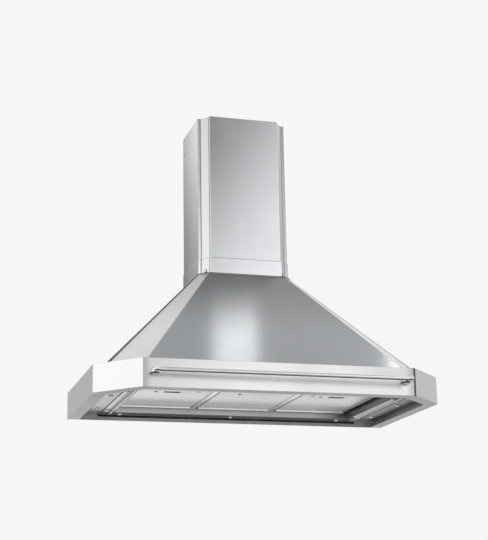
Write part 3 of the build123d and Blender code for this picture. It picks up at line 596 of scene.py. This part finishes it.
def lathe(bm, profile, centre, axis=(0, 0, -1), segments=28):
    """Closed solid of revolution: (radius, height) points, heights counted along the axis."""
    turn = Vector((0, 0, 1)).rotation_difference(Vector(axis)).to_matrix()
    centre = Vector(centre)
    rings = []
    for radius, height in profile:
        if radius < 1e-7:
            rings.append([bm.verts.new(centre + turn @ Vector((0, 0, height)))])
            continue
        ring = []
        for i in range(segments):
            a = 2 * math.pi * i / segments
            point = Vector((radius * math.cos(a), radius * math.sin(a), height))
            ring.append(bm.verts.new(centre + turn @ point))
        rings.append(ring)
    for low, high in zip(rings, rings[1:]):
        for i in range(segments):
            j = (i + 1) % segments
            if len(low) == 1:
                bm.faces.new((low[0], high[i], high[j]))
            elif len(high) == 1:
                bm.faces.new((low[i], low[j], high[0]))
            else:
                bm.faces.new((low[i], low[j], high[j], high[i]))


def ring_profile(inner, outer, thick):
    """Flat ring with softened edges, closed on itself."""
    soft = thick * 0.4
    return [(inner, 0), (outer, 0), (outer, thick - soft), (outer - soft, thick),
            (inner + soft, thick), (inner, thick - soft), (inner, 0)]


def screw_spots():
    """Where the underside's screws sit."""
    spots = []
    for side in (-1, 1):
        spots += [(side * 0.3845, -0.286, COVER_FACE), (side * 0.3845, -0.096, COVER_FACE)]
        spots += [(side * 0.355, -0.346, COVER_FACE), (side * 0.355, -0.074, COVER_FACE)]
    return spots + [(x, -0.014, PAN_FACE) for x in (-0.310, 0, 0.310)]


def screw_dress():
    """Bright cup washers round the screws' heads, each on a thin dark ring."""
    cups = bmesh.new()
    rings = bmesh.new()
    cup = [(SCREW_RADIUS, FLAT_RING), (0.0062, FLAT_RING), (0.0061, 0.0008), (0.0057, 0.0017),
           (0.0052, 0.0025), (0.0045, 0.0029), (SCREW_RADIUS, 0.0027), (SCREW_RADIUS, FLAT_RING)]
    for spot in screw_spots():
        lathe(cups, cup, spot)
        lathe(rings, ring_profile(SCREW_RADIUS, 0.0066, FLAT_RING), spot)
    for bm in (cups, rings):
        bmesh.ops.remove_doubles(bm, verts=bm.verts, dist=1e-6)
    piece("cup_washers", cups, "cup_chrome", "hood", smooth=True)
    piece("washer_rings", rings, "foam_and_shade", "hood")


def collar_dress():
    """Dark rings under the collar's screws."""
    bm = bmesh.new()
    for side in (-1, 1):
        spot = (side * 0.10977, -0.18077, 0.384)
        lathe(bm, ring_profile(SCREW_RADIUS, 0.0053, 0.0005), spot, (side, -1, 0))
    bmesh.ops.remove_doubles(bm, verts=bm.verts, dist=1e-6)
    piece("collar_rings", bm, "foam_and_shade", "hood")


def collar_shadow_strip():
    """Dark strip between the canopy's top and the collar's foot, standing for the shadow under the
    collar, open at the wall.
    """
    inner = [(0.1279, -0.0002), (0.1279, -0.1719), (0.11885, -0.1719), (0.1009, -0.18985),
             (0.1009, -0.1989)]
    outer = [(0.1296, -0.0002), (0.1296, -0.1719), (0.1296, -0.1822), (0.1072, -0.2046),
             (0.1009, -0.2046)]
    inner += [(-x, y) for x, y in reversed(inner)]
    outer += [(-x, y) for x, y in reversed(outer)]
    bm = bmesh.new()
    loops = []
    for z in (0.3730, 0.3748):
        for line in (inner, outer):
            loops.append([bm.verts.new((x, y, z)) for x, y in line])
    low_in, low_out, high_in, high_out = loops
    for i in range(len(inner) - 1):
        j = i + 1
        bm.faces.new((low_in[i], low_in[j], low_out[j], low_out[i]))
        bm.faces.new((high_in[i], high_out[i], high_out[j], high_in[j]))
        bm.faces.new((low_out[i], low_out[j], high_out[j], high_out[i]))
        bm.faces.new((low_in[j], low_in[i], high_in[i], high_in[j]))
    for i in (0, len(inner) - 1):
        bm.faces.new((low_in[i], low_out[i], high_out[i], high_in[i]))
    piece("collar_shadow_strip", bm, "foam_and_shade", "hood")


def button_cap(number, x):
    """Bright domed cap over the button of an outer cover plate."""
    bm = bmesh.new()
    radius, rim, rise, steps = 0.0050, 0.0006, 0.0013, 6
    profile = [(0, 0.0002), (0.0049, 0.0002), (radius, rim)]
    for step in range(1, steps):
        a = math.pi / 2 * step / steps
        profile.append((radius * math.cos(a), rim + rise * math.sin(a)))
    profile.append((0, rim + rise))
    lathe(bm, profile, (x, -0.272, PLATE_FACE))
    piece(f"button_cap_{number}", bm, "chrome", f"cassette_{number}", smooth=True)


def eyelet(number, x):
    """Pressed dark eyelet round a cover plate's peep hole."""
    bm = bmesh.new()
    lathe(bm, ring_profile(0.0024, 0.0042, 0.0005), (x, -0.264, PLATE_FACE))
    bmesh.ops.remove_doubles(bm, verts=bm.verts, dist=1e-6)
    piece(f"eyelet_{number}", bm, "foam_and_shade", f"cassette_{number}")


def corner_seam(name, side, radius, material):
    """Rounded seam where a side slope meets the corner facet."""
    bm = bmesh.new()
    start = Vector((side * 0.4176, -0.3846, 0.0722))
    end = Vector((side * 0.1302, -0.1803, 0.3712))
    run = end - start
    profile = [(0, 0), (radius, 0), (radius, run.length), (0, run.length)]
    lathe(bm, profile, start, run.normalized(), segments=12)
    piece(name, bm, material, "hood", smooth=True)


def bezel_shadow_bead(name, side):
    """Dark bead in the joint between a side plate and a lamp bezel, standing for the shadow in that
    joint.
    """
    bm = bmesh.new()
    middle = side * 0.3652
    outline = []
    for step in range(7):
        a = math.pi * step / 6
        outline.append((middle + 0.0015 * math.cos(a), COVER_FACE - 0.0007 * math.sin(a)))
    sweep(bm, outline, -0.4268, -0.0405, along="y")
    piece(name, bm, "foam_and_shade", "hood")


def wall_slot_shade_strip():
    """Black strip on the rear panel, in the slot along the wall side of the pan, standing for the
    shade inside the slot.
    """
    bm = bmesh.new()
    y = -0.0012
    outline = [(y, 0.0094), (y - 0.0018, 0.0094), (y - 0.0024, 0.0100), (y - 0.0026, 0.0121),
               (y - 0.0024, 0.0142), (y - 0.0018, 0.0148), (y, 0.0148)]
    sweep(bm, outline, -0.3683, 0.3683)
    piece("wall_slot_shade_strip", bm, "foam_and_shade", "hood")


def plate_hem(index):
    """Rolled hem under a cover plate's rear edge."""
    low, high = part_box(f"filter_plate_{index}")
    y = high[1]
    outline = []
    for step in range(7):
        a = math.pi * step / 6
        outline.append((y - 0.0017 - 0.0017 * math.cos(a), PLATE_FACE - 0.0030 * math.sin(a)))
    bm = bmesh.new()
    sweep(bm, outline, low[0] + 0.001, high[0] - 0.001)
    piece(f"plate_hem_{index}", bm, "cup_chrome", f"cassette_{index}")


def diamond_mesh(index):
    """Layers of expanded metal held in a cassette's frame, standing for the pressed slab."""
    low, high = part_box(f"filter_mesh_{index}")
    bm = bmesh.new()
    pitch_x, pitch_y, wide, thick = 0.0150, 0.0090, 0.0013, 0.0007
    inset = 0.0008
    levels = 4
    for level in range(levels):
        z = low[2] + inset + (high[2] - low[2] - 2 * inset) * level / (levels - 1)
        columns = int((high[0] - low[0] - 2 * inset) / pitch_x)
        rows = int((high[1] - low[1] - 2 * inset) / pitch_y)
        x0 = (low[0] + high[0] - columns * pitch_x) / 2
        y0 = (low[1] + high[1] - rows * pitch_y) / 2
        for row in range(rows):
            lean = 1 if (row + level) % 2 else -1
            rings = []
            for i in range(2 * columns + 1):
                x = x0 + pitch_x * i / 2
                side = 1 if i % 2 else -1
                y = y0 + pitch_y * (row + 0.5) + side * lean * (pitch_y / 2 - wide / 2)
                tilt = 0.0003 * side
                rings.append([bm.verts.new((x, y + a * wide / 2, z + b * thick / 2 + a * tilt))
                              for a, b in ((-1, -1), (1, -1), (1, 1), (-1, 1))])
            for low_ring, high_ring in zip(rings, rings[1:]):
                for i in range(4):
                    j = (i + 1) % 4
                    bm.faces.new((low_ring[i], low_ring[j], high_ring[j], high_ring[i]))
            bm.faces.new(rings[0])
            bm.faces.new(list(reversed(rings[-1])))
    obj = piece(f"diamond_mesh_{index}", bm, "alu", f"cassette_{index}")
    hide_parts(f"filter_mesh_{index}")


wall_slot_shade_strip()
screw_dress()
collar_dress()
collar_shadow_strip()
CASSETTE_PITCH = 0.222
for number in (1, 2, 3):
    plate_hem(number)
    diamond_mesh(number)
    eyelet(number, (number - 2) * CASSETTE_PITCH - 0.043)
button_cap(1, -0.155)
button_cap(3, 0.155)
# The left seam is coloured dark as painted shade along the ridge.
corner_seam("corner_seam_left", -1, 0.0026, "shaded_seam")
corner_seam("corner_seam_right", 1, 0.0014, "steel_y")
for word, side in (("left", -1), ("right", 1)):
    bezel_shadow_bead(f"bezel_shadow_bead_{word}", side)


# ---- Floor ----
FLOOR_LEVEL = -1.55
FLOOR_RADIUS = 6


def make_floor():
    mesh = bpy.data.meshes.new("floor")
    bm = bmesh.new()
    bmesh.ops.create_circle(bm, cap_ends=True, segments=96, radius=FLOOR_RADIUS)
    bm.to_mesh(mesh)
    bm.free()
    floor = bpy.data.objects.new("floor", mesh)
    floor.location = (0, 0, FLOOR_LEVEL)
    scene.collection.objects.link(floor)
    mat, t, shader = new_material("floor_paint")
    coords = t.coords()
    cloud = t.noise(coords, 1.2, 2.0)
    t.link(t.mix(cloud, (0.66, 0.66, 0.66), (0.70, 0.70, 0.70)), shader.inputs["Base Color"])
    t.link(t.math("MULTIPLY_ADD", cloud, 0.1, 0.6), shader.inputs["Roughness"])
    mesh.materials.append(mat)


make_floor()


# ---- Studio light ----
BACKDROP = 0.922
TENT = 0.74
MIRROR_GAIN = 0.246
# Azimuth and elevation in degrees, inner and outer radius, change of level.
CARDS = [
    (112, 76, 10, 34, -0.23),
    (113, 78, 2, 8, -0.09),
    (64, 72.4, 4, 11, -0.34),
    (-79, 4, 7, 22, 0.40),
    (-165, 10, 5, 12, -0.40),
    (-22, 44, 5, 11, -0.60),
    (-52, 20, 3, 8, -0.55),
    (30, -22, 4, 9, -0.50),
    (23.5, 9, 3, 8, -0.15),
    (27, 14, 3, 9, -0.20),
    (-160, 50, 15, 40, 0.08),
    (118, 8, 8, 22, -0.22),
    (150, 21, 4, 10, 0.02),
    (171, 16, 4, 12, -0.40),
    (168, -8, 9, 22, 0.26),
    (173, -10, 3, 10, 0.22),
]


def direction(azimuth, elevation):
    """Unit vector, azimuth measured from -Y towards +X."""
    a = math.radians(azimuth)
    e = math.radians(elevation)
    return Vector((math.sin(a) * math.cos(e), -math.cos(a) * math.cos(e), math.sin(e)))


def heading(azimuth, elevation, right, up):
    """Unit vector square to a direction, pointing some way round and up from it."""
    a = math.radians(azimuth)
    e = math.radians(elevation)
    round_ = Vector((math.cos(a), math.sin(a), 0))
    rise = Vector((-math.sin(a) * math.sin(e), math.cos(a) * math.sin(e), math.cos(e)))
    return (round_ * right + rise * up).normalized()


def make_world():
    """A pale tent with darker and brighter cards round the hood.

    Metal and glass see it brighter than diffuse light does, and the camera sees a plain backdrop.
    """
    world = bpy.data.worlds.new("studio")
    world.use_nodes = True
    t = Tree(world.node_tree)
    out = t.node("ShaderNodeOutputWorld")
    coords = t.coords("Generated")

    def along(vector):
        dot = t.node("ShaderNodeVectorMath", operation="DOT_PRODUCT")
        t.link(coords, dot.inputs[0])
        dot.inputs[1].default_value = vector
        return dot.outputs["Value"]

    def lobe(azimuth, elevation, inner, outer, change):
        return t.smooth(along(direction(azimuth, elevation)), math.cos(math.radians(outer)),
                        math.cos(math.radians(inner)), 0.0, change)

    level = TENT
    for card in CARDS:
        level = t.math("ADD", lobe(*card), level)
    # A soft edge between a dark and a bright panel, which the chimney's front mirrors.
    edge = along(heading(16.65, 18.85, 0.83, -0.55))
    ramp = t.smooth(edge, math.sin(math.radians(-3.0)), math.sin(math.radians(3.0)), -0.60, 0.58)
    level = t.math("MULTIPLY_ADD", ramp, lobe(15, 18, 10, 24, 1.0), level)
    path = t.node("ShaderNodeLightPath")
    glossy, through = path.outputs["Is Glossy Ray"], path.outputs["Is Transmission Ray"]
    mirror = t.math("ADD", glossy, through, clamp=True)
    level = t.math("MULTIPLY", level, t.math("MULTIPLY_ADD", mirror, MIRROR_GAIN, 1.0))
    tent = t.node("ShaderNodeBackground")
    t.link(level, tent.inputs["Strength"])
    tint = t.mix(t.smooth(level, 0.35, 0.85), (0.95, 0.985, 1.0), (0.99, 0.992, 1.0))
    t.link(tint, tent.inputs["Color"])
    plain = t.node("ShaderNodeBackground")
    plain.inputs["Color"].default_value = (BACKDROP, BACKDROP, BACKDROP, 1)
    plain.inputs["Strength"].default_value = 1.0
    pick = t.node("ShaderNodeMixShader")
    t.link(path.outputs["Is Camera Ray"], pick.inputs[0])
    t.link(tent.outputs[0], pick.inputs[1])
    t.link(plain.outputs[0], pick.inputs[2])
    t.link(pick.outputs[0], out.inputs[0])
    scene.world = world


make_world()


def area(name, place, target, along_y, along_x, power, spread):
    """Soft panel light above the hood, with its sizes along Y and X."""
    data = bpy.data.lights.new(name, "AREA")
    data.shape = "RECTANGLE"
    data.size = along_y
    data.size_y = along_x
    data.energy = power
    data.spread = math.radians(spread)
    obj = bpy.data.objects.new(name, data)
    obj.location = place
    obj.rotation_euler = (Vector(place) - Vector(target)).to_track_quat("Z", "Y").to_euler()
    scene.collection.objects.link(obj)


area("slope_strip", (0.219, -0.34, 1.26), (-0.10, -0.41, 0.13), 0.16, 0.145, 0.00235, 22)
area("slope_end", (0.765, -0.362, 1.107), (0.334, -0.450, 0.092), 0.16, 0.09, 0.0024, 22)
